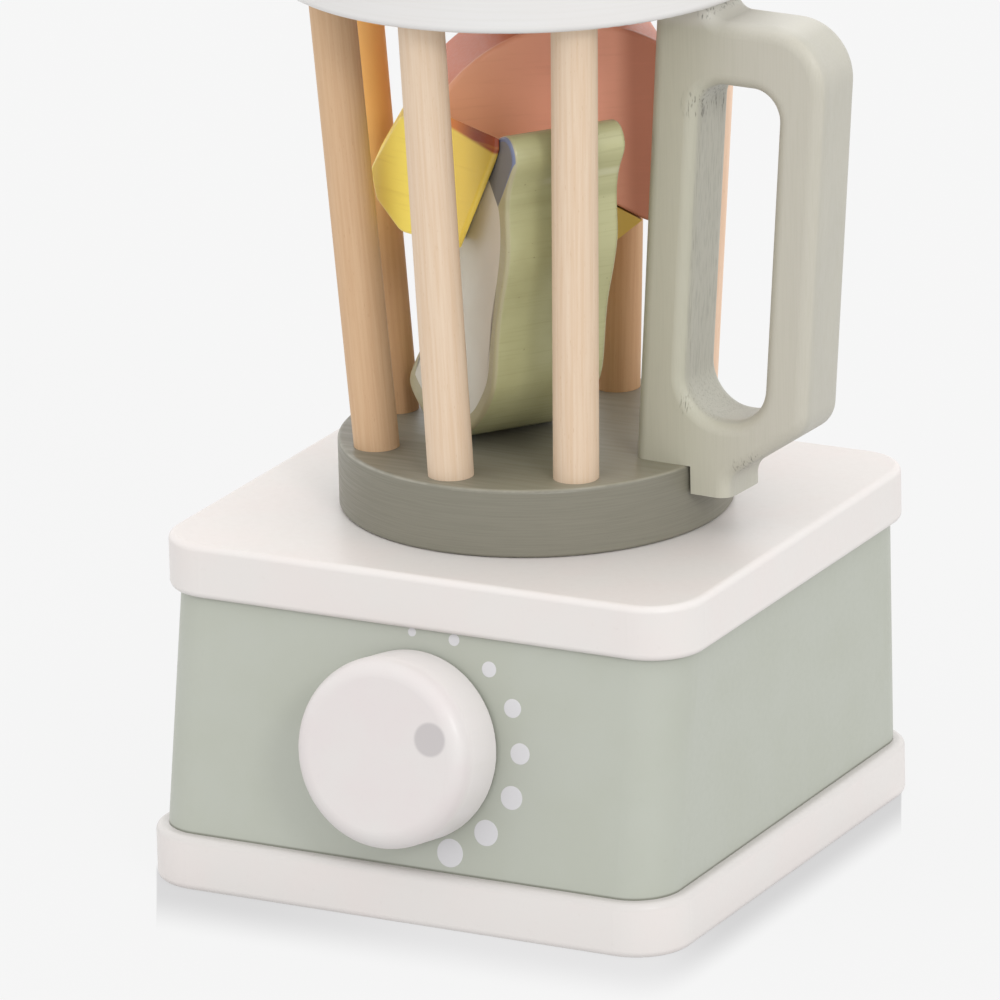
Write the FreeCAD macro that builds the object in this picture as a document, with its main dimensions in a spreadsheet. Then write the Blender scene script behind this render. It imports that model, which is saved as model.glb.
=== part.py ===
"""Wooden toy blender: a base unit with a turning knob, a lift-off jug of leaning rods,
a lift-off lid and four pieces of play food. Millimetres, +Z up, the knob faces -Y.
The origin is the middle of the underside of the base plate."""
import FreeCAD
import Part
import math
import os
import re
import Sketcher

SIZES = {
    # base plate and top plate, of the same board
    "plate_width": 125, "base_depth": 125, "plate_thickness": 12, "plate_corner": 12, "plate_edge": 1.5,
    # box between the plates, with a tilted front panel
    "box_height": 50, "overhang": 2.5, "rear_overhang": 2, "top_overhang": 1.8, "panel_tilt": 10,
    "wall": 12, "box_corner": 10, "block_side": 16,
    # fasteners of the base unit
    "screw_shank": 1.75, "screw_head": 3.5, "screw_head_height": 2, "screw_length": 30, "screw_sink": 0.4,
    "dowel_radius": 3, "dowel_depth": 9, "glue_gap": 0.05,
    # knob and its click mechanism
    "knob_across": 0.8, "knob_height": 26, "knob_radius": 20.25, "knob_thickness": 15, "knob_edge": 4, "knob_gap": 0.6,
    "axle_radius": 5, "axle_clearance": 0.08, "axle_socket": 10,
    "wheel_radius": 17, "wheel_thickness": 6, "wheel_gap": 0.5, "notch_radius": 2.6, "notch_count": 12,
    "washer_radius": 8, "washer_thickness": 1.2, "axle_screw_length": 14,
    "spring_thickness": 1.2, "spring_width": 5, "spring_length": 30, "spring_block_side": 12,
    # jug: disc, leaning rods, ring
    "jug_turn": -3.5, "disc_radius": 42, "disc_thickness": 15, "disc_edge": 0.8,
    "peg_radius": 4, "peg_spacing": 28, "peg_height": 6, "peg_clearance": 0.35, "peg_head_room": 0.5,
    "rod_radius": 4.85, "rod_places": 8, "handle_place": 2, "rod_circle_low": 34.6, "rod_circle_high": 41.8,
    "cage_height": 101.5, "ring_radius": 53.1, "ring_inner": 34, "ring_thickness": 15, "ring_edge": 1.5,
    # handle board with its slot; "low" is at the disc's top, "high" at the ring's underside
    "handle_thickness": 15, "handle_edge": 3, "set_in_low": 6.4, "set_in_high": 6.3,
    "arm_low": 11.2, "arm_high": 11.6, "slot_width": 18.8, "grip_width": 10.9,
    "slot_bottom": 10.7, "slot_drop": 17.9, "slot_low_corner": 8.8, "slot_high_corner": 6,
    "foot_drop": 6, "foot_width": 9, "rim_gap": 0.2, "ramp_height": 11.2, "ramp_rise": 35,
    "neck_width": 12.9, "neck_height": 4, "neck_fillet": 3.5, "foot_fillet": 5,
    "handle_top_corner": 12, "handle_low_corner": 7,
    # lid
    "lid_thickness": 9, "plug_depth": 8, "plug_clearance": 0.4, "lid_edge": 2,
    "lid_knob_radius": 13, "lid_knob_height": 20, "lid_knob_waist": 9, "lid_screw_length": 22,
    # play food in the jug; its frame is turned from the base unit's
    "food_across": -3.2, "food_back": -21.7, "food_lift": 2.7, "food_turn": 53.5, "food_gap": 0.3,
    "food_edge": 0.9, "food_thickness": 24, "pear_height": 71, "pear_thickness": 26,
    "wedge_turn": 106, "wedge_across": -0.7, "wedge_back": -17.5, "wedge_up": 68.7,
    "wedge_length": 41.1, "wedge_depth": 12, "wedge_slant": 41.4, "wedge_edge": 3, "wedge_roof": 12.5,
    "melon_radius": 35, "melon_tilt": 31, "melon_turn": -17.2, "melon_across": 28.4,
    "melon_back": 6.9, "melon_up": 50.9, "melon_reach": 24.8, "melon_corner": 4.5,
    "tip_reach": 14.1, "tip_low": 24, "tip_depth": 11,
}

# Lengths and angles that follow from the sizes.
TERMS = {
    "box_top": "plate_thickness + box_height",
    "plate_top": "box_top + plate_thickness",
    "disc_top": "plate_top + disc_thickness",
    "ring_bottom": "disc_top + cage_height",
    "ring_top": "ring_bottom + ring_thickness",
    "base_front": "-base_depth / 2",
    "base_rear": "base_depth / 2",
    "box_half": "plate_width / 2 - overhang",
    "box_front": "base_front + overhang",
    "panel_back": "box_height * tan(panel_tilt)",
    "panel_slope": "box_height / cos(panel_tilt)",
    "panel_run": "wall / cos(panel_tilt)",
    "box_rear": "base_rear - rear_overhang",
    "top_front": "box_front + panel_back - top_overhang",
    "jug_back": "(top_front + base_rear) / 2",
    "block_across": "box_half - wall - block_side",
    "block_front": "box_front + panel_run + panel_back",
    "block_rear": "box_rear - wall - block_side",
    "rod_lean": "atan((rod_circle_high - rod_circle_low) / cage_height)",
    "rod_foot": "disc_top - dowel_depth",
    "rod_foot_radius": "rod_circle_low - dowel_depth * tan(rod_lean)",
    "rod_length": "(cage_height + 2 * dowel_depth) / cos(rod_lean)",
    "wheel_front": "wall + wheel_gap",
    "axle_end": "wheel_front + wheel_thickness",
    "melon_drop": "tan(melon_tilt)",
}

CLOSE = 0.01  # lengths that differ by less count as the same

PANEL_FRAME = ("0", "box_front", "plate_thickness"), ("0", "0", "-panel_tilt")
KNOB_FRAME = (("knob_across", "box_front + knob_height * sin(panel_tilt)",
               "plate_thickness + knob_height * cos(panel_tilt)"), ("0", "0", "90 - panel_tilt"))
JUG_FRAME = ("0", "jug_back", "0"), ("jug_turn", "0", "0")
FOOD_PLACE = ("food_across", "jug_back + food_back", "disc_top + food_lift")

doc = FreeCAD.newDocument("ToyBlender")
sheet = doc.addObject("Spreadsheet::Sheet", "Sizes")
for row, (alias, size) in enumerate(SIZES.items(), start=1):
    sheet.set(f"A{row}", alias)
    sheet.set(f"B{row}", str(size))
    sheet.setAlias(f"B{row}", alias)
doc.recompute()


def bound(text):
    """Write a length given in plain words as an expression on the sheet."""
    def swap(match):
        word = match.group()
        if word in TERMS:
            return f"({bound(TERMS[word])})"
        return f"Sizes.{word}" if word in SIZES else word
    return re.sub(r"[a-z_]+", swap, str(text))


def number(text):
    value = sheet.evalExpression(bound(text))
    return float(getattr(value, "Value", value))


def place(item, frame):
    """Bind an object's Placement to a frame of (x, y, z), (yaw, pitch, roll)."""
    at, turn = ("; ".join(bound(part) for part in group) for group in frame)
    item.setExpression("Placement", f"placement(vector({at}); rotation({turn}))")


# ---------------------------------------------------------------- Part helpers

def primitive(kind, name, frame, **sizes):
    item = doc.addObject(f"Part::{kind}", name)
    for key, text in sizes.items():
        item.setExpression(key, bound(text))
    place(item, frame)
    return item


def drill(name, at, radius, depth, turn=("0", "0", "0")):
    return primitive("Cylinder", name, (at, turn), Radius=radius, Height=depth)


def fused(name, items):
    joined = doc.addObject("Part::MultiFuse", name)
    joined.Shapes = items
    return joined


def cut(name, base, tools):
    result = doc.addObject("Part::Cut", name)
    result.Base = base
    result.Tool = tools[0] if len(tools) == 1 else fused(f"{name}_tools", tools)
    doc.recompute()
    if result.Shape.Volume >= base.Shape.Volume:
        raise ValueError(f"{name} cuts nothing")
    return result


def group(name, items):
    """One sub-part made of several separate solids."""
    compound = doc.addObject("Part::Compound", name)
    compound.Links = items
    return compound


# ---------------------------------------------------------------- PartDesign helpers

def new_body(name, frame=None):
    body = doc.addObject("PartDesign::Body", name)
    if frame:
        place(body, frame)
    return body


def new_sketch(body, role, offset=None):
    sketch = body.newObject("Sketcher::SketchObject", f"{body.Name}_sketch")
    plane = next(item for item in body.Origin.OriginFeatures if item.Role == role)
    sketch.AttachmentSupport = [(plane, "")]
    sketch.MapMode = "FlatFace"
    if offset:
        sketch.setExpression("AttachmentOffset.Base.z", bound(offset))
    return sketch


def fix_point(sketch, geometry, vertex, across, up):
    """Hold a sketch point at lengths bound to the sheet, measured from the sketch's origin."""
    for kind, text in (("DistanceX", across), ("DistanceY", up)):
        index = sketch.addConstraint(Sketcher.Constraint(kind, -1, 1, geometry, vertex, number(text)))
        sketch.setExpression(f"Constraints[{index}]", bound(text))


def outline(sketch, corners):
    """Draw a closed polygon through corners given as (across, up) lengths."""
    points = [FreeCAD.Vector(number(across), number(up), 0) for across, up in corners]
    first = sketch.GeometryCount
    count = len(points)
    for index in range(count):
        sketch.addGeometry(Part.LineSegment(points[index], points[(index + 1) % count]))
    for index, (across, up) in enumerate(corners):
        following = first + (index + 1) % count
        sketch.addConstraint(Sketcher.Constraint("Coincident", first + index, 2, following, 1))
        fix_point(sketch, first + index, 1, across, up)


def circle(sketch, across, up, radius):
    centre = FreeCAD.Vector(number(across), number(up), 0)
    index = sketch.addGeometry(Part.Circle(centre, FreeCAD.Vector(0, 0, 1), number(radius)))
    fix_point(sketch, index, 3, across, up)
    constraint = sketch.addConstraint(Sketcher.Constraint("Radius", index, number(radius)))
    sketch.setExpression(f"Constraints[{constraint}]", bound(radius))


def pad(body, sketch, length, midplane=False, reverse=False):
    feature = body.newObject("PartDesign::Pad", f"{body.Name}_pad")
    feature.Profile = sketch
    feature.setExpression("Length", bound(length))
    feature.Midplane = midplane
    feature.Reversed = reverse
    doc.recompute()
    return feature


def pocket(body, sketch, length=None, reverse=False, midplane=False):
    before = body.Shape.Volume
    feature = body.newObject("PartDesign::Pocket", f"{body.Name}_pocket")
    feature.Profile = sketch
    if length:
        feature.setExpression("Length", bound(length))
    else:
        feature.Type = "ThroughAll"
    feature.Reversed = reverse
    feature.Midplane = midplane
    doc.recompute()
    if feature.Shape.Volume >= before:
        raise ValueError(f"{feature.Name} cuts nothing")
    return feature


def revolve(body, sketch):
    feature = body.newObject("PartDesign::Revolution", f"{body.Name}_turning")
    feature.Profile = sketch
    feature.ReferenceAxis = (sketch, ["V_Axis"])
    feature.Angle = 360
    doc.recompute()
    return feature


def fillet(body, radius, chosen):
    """Round the edges of the body's tip that the test picks."""
    tip = body.Tip
    names = [f"Edge{index}" for index, edge in enumerate(tip.Shape.Edges, start=1) if chosen(edge)]
    if not names:
        raise ValueError(f"no edge of {body.Name} to round")
    feature = body.newObject("PartDesign::Fillet", f"{body.Name}_fillet")
    feature.Base = (tip, names)
    feature.setExpression("Radius", bound(radius))
    doc.recompute()
    return feature


def ends(edge):
    return edge.Vertexes[0].Point, edge.Vertexes[-1].Point


def upright(edge):
    """True for an edge that runs along Z."""
    low, high = ends(edge)
    return abs(low.z - high.z) > 1 and math.hypot(low.x - high.x, low.y - high.y) < CLOSE


def level_at(heights):
    """Pick the edges that lie flat at one of the given heights."""
    def test(edge):
        box = edge.BoundBox
        return box.ZLength < CLOSE and any(abs(box.ZMin - height) < CLOSE for height in heights)
    return test


# ---------------------------------------------------------------- base unit

def board(name, front, rear, bottom):
    """A plate with rounded corners and softened edges."""
    body = new_body(name, (("0", "0", bottom), ("0", "0", "0")))
    sketch = new_sketch(body, "XY_Plane")
    half = "plate_width / 2"
    outline(sketch, [(f"-{half}", front), (half, front), (half, rear), (f"-{half}", rear)])
    pad(body, sketch, "plate_thickness")
    fillet(body, "plate_corner", upright)
    fillet(body, "plate_edge", level_at([0, number("plate_thickness")]))
    return body


def corner_places():
    """Middles of the four glue blocks."""
    across = "(block_across + block_side / 2)"
    for side in ("", "-"):
        for back in ("block_front + block_side / 2", "block_rear + block_side / 2"):
            yield f"{side}{across}", back


def screw_profile(shank, head, head_height, length):
    """Half section of a countersunk screw, its head's face at zero and its point at -length."""
    return [("0", "0"), (head, "0"), (shank, f"-{head_height}"), (shank, f"-{length} + 2 * {shank}"),
            ("0", f"-{length}")]


def screw(name, frame, length, shank="screw_shank", head="screw_head"):
    body = new_body(name, frame)
    sketch = new_sketch(body, "XZ_Plane")
    outline(sketch, screw_profile(shank, head, "screw_head_height", length))
    revolve(body, sketch)
    return body


def make_base_plate():
    blank = board("base_board", "base_front", "base_rear", "0")
    tools = []
    for index, (across, back) in enumerate(corner_places()):
        tools.append(drill(f"base_hole_{index}", (across, back, "-plate_edge"),
                           "screw_shank + glue_gap", "plate_thickness + 2 * plate_edge"))
        sink = primitive("Cone", f"base_sink_{index}", ((across, back, "0"), ("0", "0", "0")),
                         Radius1="screw_head + screw_sink", Radius2="screw_shank + glue_gap",
                         Height="screw_head_height + screw_sink")
        tools.append(sink)
    return cut("base_plate", blank, tools)


def make_base_screws():
    frames = [((across, back, "screw_sink"), ("0", "180", "0")) for across, back in corner_places()]
    return group("base_screws", [screw(f"base_screw_{index}", frame, "screw_length")
                                 for index, frame in enumerate(frames)])


def make_corner_blocks():
    blocks = []
    for index, (across, back) in enumerate(corner_places()):
        corner = f"{across} - block_side / 2", f"{back} - block_side / 2", "plate_thickness"
        block = primitive("Box", f"block_blank_{index}", (corner, ("0", "0", "0")),
                          Length="block_side", Width="block_side", Height="box_height")
        pilot = drill(f"block_pilot_{index}", (across, back, "plate_thickness - 1"),
                      "screw_shank + glue_gap", "screw_length - plate_thickness + screw_sink + 1.2")
        socket = drill(f"block_socket_{index}", (across, back, "box_top - dowel_depth"),
                       "dowel_radius + glue_gap", "2 * dowel_depth")
        blocks.append(cut(f"block_{index}", block, [pilot, socket]))
    return group("corner_blocks", blocks)


def make_top_dowels():
    """Dowels between the glue blocks and the top plate, a little shorter than their sockets."""
    depth = "(dowel_depth - 0.5)"
    dowels = [drill(f"top_dowel_{index}", (across, back, f"box_top - {depth}"), "dowel_radius",
                    f"2 * {depth}") for index, (across, back) in enumerate(corner_places())]
    return group("top_dowels", dowels)


def make_front_panel():
    """The tilted panel, drawn in its own frame: Y runs inward, Z up the slope."""
    body = new_body("front_panel", PANEL_FRAME)
    sketch = new_sketch(body, "YZ_Plane")
    rise = "wall * tan(panel_tilt)"
    outline(sketch, [("0", "0"), ("wall", rise), ("wall", f"panel_slope + {rise}"), ("0", "panel_slope")])
    pad(body, sketch, "2 * box_half", midplane=True)
    fillet(body, "box_corner", lambda edge: upright(edge) and abs(edge.BoundBox.YMax) < CLOSE)
    bore = new_sketch(body, "XZ_Plane")
    circle(bore, "knob_across", "knob_height", "axle_radius + axle_clearance")
    pocket(body, bore, reverse=False, midplane=True)
    return body


def make_rear_panel():
    body = new_body("rear_panel", (("0", "0", "plate_thickness"), ("0", "0", "0")))
    sketch = new_sketch(body, "XY_Plane")
    outline(sketch, [("-box_half", "box_rear - wall"), ("box_half", "box_rear - wall"),
                     ("box_half", "box_rear"), ("-box_half", "box_rear")])
    pad(body, sketch, "box_height")
    rear = number("box_rear")
    fillet(body, "box_corner", lambda edge: upright(edge) and abs(edge.BoundBox.YMax - rear) < CLOSE)
    return body


def make_side_panel(name, across):
    """A side panel fits between the tilted front panel and the rear panel."""
    body = new_body(name, ((across, "0", "plate_thickness"), ("0", "0", "0")))
    sketch = new_sketch(body, "YZ_Plane")
    outline(sketch, [("box_front + panel_run", "0"), ("box_rear - wall", "0"),
                     ("box_rear - wall", "box_height"), ("box_front + panel_run + panel_back", "box_height")])
    pad(body, sketch, "wall")
    return body


def peg_places():
    """Middles of the two pegs that locate the jug, turned with it."""
    for side in ("", "-"):
        yield f"{side}peg_spacing / 2 * cos(jug_turn)", f"jug_back + {side}peg_spacing / 2 * sin(jug_turn)"


def make_top_plate():
    blank = board("top_board", "top_front", "base_rear", "box_top")
    tools = [drill(f"top_socket_{index}", (across, back, "box_top - 1"), "dowel_radius + glue_gap",
                   "dowel_depth + 1") for index, (across, back) in enumerate(corner_places())]
    tools += [drill(f"peg_socket_{index}", (across, back, "plate_top - dowel_depth"),
                    "peg_radius + glue_gap", "2 * dowel_depth")
              for index, (across, back) in enumerate(peg_places())]
    return cut("top_plate", blank, tools)


def make_jug_pegs():
    pegs = []
    for index, (across, back) in enumerate(peg_places()):
        body = new_body(f"jug_peg_{index}", ((across, back, "plate_top - dowel_depth"), ("0", "0", "0")))
        sketch = new_sketch(body, "XZ_Plane")
        top = "dowel_depth + peg_height"
        outline(sketch, [("0", "0"), ("peg_radius", "0"), ("peg_radius", f"{top} - 1"),
                         ("peg_radius - 1", top), ("0", top)])
        revolve(body, sketch)
        pegs.append(body)
    return group("jug_pegs", pegs)


# ---------------------------------------------------------------- knob and click mechanism
# These are drawn with Z along the knob's axis, zero at the panel's face and positive outward.

def turned(name, profile):
    body = new_body(name, KNOB_FRAME)
    sketch = new_sketch(body, "XZ_Plane")
    outline(sketch, profile)
    revolve(body, sketch)
    return body


def make_knob():
    """A thick disc with a rounded front edge and a blind socket for its axle."""
    inner, face = "axle_radius + glue_gap", "knob_gap + knob_thickness"
    socket = "knob_gap + axle_socket"
    body = turned("knob", [(inner, "knob_gap"), ("knob_radius", "knob_gap"), ("knob_radius", face),
                           ("0", face), ("0", socket), (inner, socket)])
    front = number(face)
    fillet(body, "knob_edge", lambda edge: level_at([front])(edge) and edge.BoundBox.XLength > 1)
    fillet(body, "knob_gap", lambda edge: level_at([number("knob_gap")])(edge)
           and edge.BoundBox.XLength > number("2 * axle_radius + 1"))
    return body


def make_knob_axle():
    tip = "knob_gap + axle_socket - 0.3"
    hole = "screw_shank + glue_gap"
    deep = "axle_end - axle_screw_length"
    return turned("knob_axle", [(hole, "-axle_end"), ("axle_radius", "-axle_end"), ("axle_radius", tip),
                                ("0", tip), ("0", f"-({deep})"), (hole, f"-({deep})")])


def make_knob_washer():
    """A thin felt washer that rides behind the knob and all but touches the panel."""
    inner, outer, back = "axle_radius + axle_clearance", "knob_radius / 2", "axle_clearance"
    return turned("knob_washer", [(inner, back), (outer, back), (outer, "knob_gap"), (inner, "knob_gap")])


def make_click_wheel():
    body = new_body("click_wheel", KNOB_FRAME)
    sketch = new_sketch(body, "XY_Plane", "-axle_end")
    circle(sketch, "0", "0", "wheel_radius")
    circle(sketch, "0", "0", "axle_radius + glue_gap")
    pad(body, sketch, "wheel_thickness")
    notch = new_sketch(body, "XY_Plane", "-axle_end")
    circle(notch, "0", "wheel_radius + notch_radius / 3", "notch_radius")
    first = pocket(body, notch, "wheel_thickness", reverse=True)
    pattern = body.newObject("PartDesign::PolarPattern", "click_wheel_pattern")
    pattern.Originals = [first]
    pattern.Axis = (notch, ["N_Axis"])
    pattern.Angle = 360
    pattern.setExpression("Occurrences", bound("notch_count"))
    body.Tip = pattern
    doc.recompute()
    return body


def make_axle_washer():
    inner, far = "screw_shank + 2 * glue_gap", "-axle_end - washer_thickness"
    return turned("axle_washer", [(inner, far), ("washer_radius", far), ("washer_radius", "-axle_end"),
                                  (inner, "-axle_end")])


def make_axle_screw():
    """A pan-head screw that holds the wheel and washer on the axle's end."""
    seat = "-axle_end - washer_thickness"
    top = f"{seat} - screw_head_height"
    point = f"{seat} + axle_screw_length - 1"
    return turned("axle_screw", [("0", top), ("screw_head", top), ("screw_head", seat), ("screw_shank", seat),
                                 ("screw_shank", f"{point} - 2 * screw_shank"), ("0", point)])


def make_click_spring():
    """A leaf along X that reaches from its block to a notch at the top of the wheel."""
    body = new_body("click_spring", KNOB_FRAME)
    sketch = new_sketch(body, "XY_Plane", "-axle_end + (wheel_thickness - spring_width) / 2")
    floor = "(wheel_radius - notch_radius * 2 / 3 + 0.3)"
    leaf = f"({floor} + 4)"
    half = "(notch_radius * 0.5)"
    outline(sketch, [(f"-{half}", leaf), ("0", floor), (half, leaf), ("spring_length", leaf),
                     ("spring_length", f"{leaf} + spring_thickness"),
                     (f"-{half}", f"{leaf} + spring_thickness")])
    pad(body, sketch, "spring_width")
    return body


def spring_places():
    for step in ("4", "spring_block_side - 4"):
        yield f"spring_length - spring_block_side + {step}"


LEAF_FOOT = "wheel_radius - notch_radius * 2 / 3 + 4.3"


def make_spring_block():
    """A block glued to the inside of the front panel, under the fixed end of the leaf."""
    low = f"({LEAF_FOOT} - spring_block_side)"
    body = new_body("spring_block", KNOB_FRAME)
    sketch = new_sketch(body, "XY_Plane", "-axle_end")
    near = "spring_length - spring_block_side"
    outline(sketch, [(near, low), ("spring_length", low), ("spring_length", LEAF_FOOT), (near, LEAF_FOOT)])
    pad(body, sketch, "axle_end - wall")
    return body


def make_spring_screws():
    """Two small screws down through the leaf into its block."""
    heads = f"{LEAF_FOOT} + spring_thickness"
    depth = "(-axle_end + wheel_thickness / 2)"
    screws = []
    for index, along in enumerate(spring_places()):
        body = new_body(f"spring_screw_{index}", KNOB_FRAME)
        sketch = new_sketch(body, "XY_Plane", depth)
        outline(sketch, [(along, heads), (f"{along} + 2", heads), (f"{along} + 2", f"{heads} + 1.2"),
                         (along, f"{heads} + 1.2")])
        feature = body.newObject("PartDesign::Revolution", f"{body.Name}_head")
        feature.Profile = sketch
        feature.ReferenceAxis = (sketch, ["Edge4"])
        feature.Angle = 360
        doc.recompute()
        screws.append(body)
    return group("spring_screws", screws)


# ---------------------------------------------------------------- jug

def make_disc_blank():
    body = new_body("disc_blank", (("0", "jug_back", "plate_top"), ("0", "0", "0")))
    sketch = new_sketch(body, "XY_Plane")
    circle(sketch, "0", "0", "disc_radius")
    pad(body, sketch, "disc_thickness")
    fillet(body, "disc_edge", level_at([0, number("disc_thickness")]))
    return body


def rod_frame(index):
    """Foot and lean of the rod at one of the equal places round the jug."""
    angle = f"jug_turn + {index} * 360 / rod_places"
    at = (f"rod_foot_radius * sin({angle})", f"jug_back - rod_foot_radius * cos({angle})", "rod_foot")
    return at, (angle, "0", "rod_lean")


def rod_indexes():
    return [index for index in range(SIZES["rod_places"]) if index != SIZES["handle_place"]]


def rod_sockets(name):
    return [drill(f"{name}_{index}", rod_frame(index)[0], "rod_radius + glue_gap", "rod_length",
                  rod_frame(index)[1]) for index in rod_indexes()]


def dowel_spots():
    """Distance from the jug's axis and middle height of the handle's two dowels."""
    low = "rod_circle_low - set_in_low + arm_low / 2 + 0.6"
    high = "rod_circle_high - set_in_high + neck_width / 2"
    return {"low": (low, "disc_top"), "high": (high, "ring_bottom")}


def handle_dowel(name, spot, radius, depth):
    out, level = dowel_spots()[spot]
    at = (f"({out}) * cos(jug_turn)", f"jug_back + ({out}) * sin(jug_turn)", f"{level} - ({depth})")
    return drill(name, at, radius, f"2 * ({depth})")


def make_jug_base():
    tools = rod_sockets("disc_socket")
    tools += [drill(f"disc_peg_hole_{index}", (across, back, "plate_top - 1"), "peg_radius + peg_clearance",
                    "peg_height + peg_head_room + 1") for index, (across, back) in enumerate(peg_places())]
    tools.append(handle_dowel("disc_dowel_hole", "low", "dowel_radius + glue_gap", "dowel_depth"))
    return cut("jug_base", make_disc_blank(), tools)


def make_rods():
    return [drill(f"rod_{count}", rod_frame(index)[0], "rod_radius", "rod_length", rod_frame(index)[1])
            for count, index in enumerate(rod_indexes(), start=1)]


def make_top_ring():
    body = new_body("ring_blank", (("0", "jug_back", "ring_bottom"), ("0", "0", "0")))
    sketch = new_sketch(body, "XY_Plane")
    circle(sketch, "0", "0", "ring_radius")
    circle(sketch, "0", "0", "ring_inner")
    pad(body, sketch, "ring_thickness")
    fillet(body, "ring_edge", level_at([0, number("ring_thickness")]))
    tools = rod_sockets("ring_socket")
    tools.append(handle_dowel("ring_dowel_hole", "high", "dowel_radius + glue_gap", "dowel_depth"))
    return cut("top_ring", body, tools)


def across_at(low, high, height):
    """Where a line through (low, at the disc's top) and (high, at the ring's underside) passes."""
    return f"({low}) + (({high}) - ({low})) * ({height}) / cage_height"


def make_handle():
    """A board in the jug's radial plane; heights are measured from the disc's top."""
    body = new_body("handle", (("0", "jug_back", "disc_top"), ("jug_turn", "0", "0")))
    inner = "rod_circle_low - set_in_low", "rod_circle_high - set_in_high"
    slot_in = f"{inner[0]} + arm_low", f"{inner[1]} + arm_high"
    slot_out = f"{slot_in[0]} + slot_width", f"{slot_in[1]} + slot_width"
    outer = f"{slot_out[0]} + grip_width", f"{slot_out[1]} + grip_width"
    below, above = "-2 * foot_drop", "cage_height + 2 * neck_height"
    neck, shoulder = f"{inner[1]} + neck_width", "cage_height - neck_height"
    slot_top = "cage_height - slot_drop"
    foot = "disc_radius + rim_gap + foot_width"
    ramp_foot = f"ramp_height - ({outer[0]} - ({foot})) * tan(ramp_rise)"
    board_sketch = new_sketch(body, "XZ_Plane")
    outline(board_sketch, [
        (across_at(*inner, below), below), (foot, below), (foot, ramp_foot),
        (across_at(*outer, "ramp_height"), "ramp_height"), (across_at(*outer, shoulder), shoulder),
        (neck, shoulder), (neck, above), (across_at(*inner, above), above)])
    slot_sketch = new_sketch(body, "XZ_Plane")
    outline(slot_sketch, [
        (across_at(*slot_in, "slot_bottom"), "slot_bottom"), (across_at(*slot_out, "slot_bottom"), "slot_bottom"),
        (across_at(*slot_out, slot_top), slot_top), (across_at(*slot_in, slot_top), slot_top)])
    pad(body, board_sketch, "handle_thickness", midplane=True)
    pocket(body, slot_sketch, midplane=True)

    def corner_at(spots):
        """Pick the edges across the board's thickness at the given corners."""
        points = [(number(across), number(up)) for across, up in spots]

        def test(edge):
            low, high = ends(edge)
            across = abs(low.y - high.y) > 1
            return across and any(math.hypot(low.x - x, low.z - z) < 10 * CLOSE for x, z in points)
        return test

    fillet(body, "handle_top_corner", corner_at([(across_at(*outer, shoulder), shoulder)]))
    fillet(body, "handle_low_corner", corner_at([(across_at(*outer, "ramp_height"), "ramp_height")]))
    fillet(body, "neck_fillet", corner_at([(neck, shoulder)]))
    fillet(body, "foot_fillet", corner_at([(foot, ramp_foot)]))
    fillet(body, "slot_low_corner", corner_at([(across_at(*slot_in, "slot_bottom"), "slot_bottom"),
                                               (across_at(*slot_out, "slot_bottom"), "slot_bottom")]))
    fillet(body, "slot_high_corner", corner_at([(across_at(*slot_in, slot_top), slot_top),
                                                (across_at(*slot_out, slot_top), slot_top)]))
    half, low_end, high_end = number("handle_thickness / 2"), number(below), number(above)

    def face_edge(edge):
        box = edge.BoundBox
        on_face = box.YLength < CLOSE and abs(abs(box.YMin) - half) < CLOSE
        at_end = box.ZLength < CLOSE and any(abs(box.ZMin - end) < 10 * CLOSE for end in (low_end, high_end))
        return on_face and not at_end
    fillet(body, "handle_edge", face_edge)
    trim = new_sketch(body, "XZ_Plane")
    rim = "disc_radius + rim_gap"
    outline(trim, [("0", "0"), (rim, "0"), (rim, "-foot_drop"), ("2 * disc_radius", "-foot_drop"),
                   ("2 * disc_radius", "-4 * foot_drop"), ("0", "-4 * foot_drop")])
    pocket(body, trim, midplane=True)
    crown = new_sketch(body, "XZ_Plane")
    outline(crown, [("0", "cage_height"), ("2 * disc_radius", "cage_height"),
                    ("2 * disc_radius", "cage_height + 4 * neck_height"), ("0", "cage_height + 4 * neck_height")])
    pocket(body, crown, midplane=True)
    tools = [handle_dowel(f"handle_hole_{spot}", spot, "dowel_radius + glue_gap", "dowel_depth")
             for spot in dowel_spots()]
    return cut("handle_board", body, tools)


def make_handle_dowels():
    return group("handle_dowels", [handle_dowel(f"handle_dowel_{spot}", spot, "dowel_radius",
                                                "dowel_depth - 0.5") for spot in dowel_spots()])


# ---------------------------------------------------------------- lid

def lid_piece(name, profile):
    body = new_body(name, (("0", "jug_back", "ring_top"), ("0", "0", "0")))
    sketch = new_sketch(body, "XZ_Plane")
    outline(sketch, profile)
    revolve(body, sketch)
    return body


def make_lid_plate():
    hole = "screw_shank + glue_gap"
    body = lid_piece("lid_plate", [(hole, "0"), ("ring_radius", "0"), ("ring_radius", "lid_thickness"),
                                   (hole, "lid_thickness")])
    top = number("lid_thickness")
    rim = number("ring_radius")
    fillet(body, "lid_edge", lambda edge: level_at([top])(edge) and edge.BoundBox.XLength > rim)
    return body


def make_lid_plug():
    outer, hole = "ring_inner - plug_clearance", "screw_shank + glue_gap"
    sink = "screw_head + glue_gap"
    return lid_piece("lid_plug", [(hole, "0"), (outer, "0"), (outer, "1 - plug_depth"),
                                  (f"{outer} - 1", "-plug_depth"), (sink, "-plug_depth"),
                                  (hole, "screw_head_height - plug_depth")])


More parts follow.
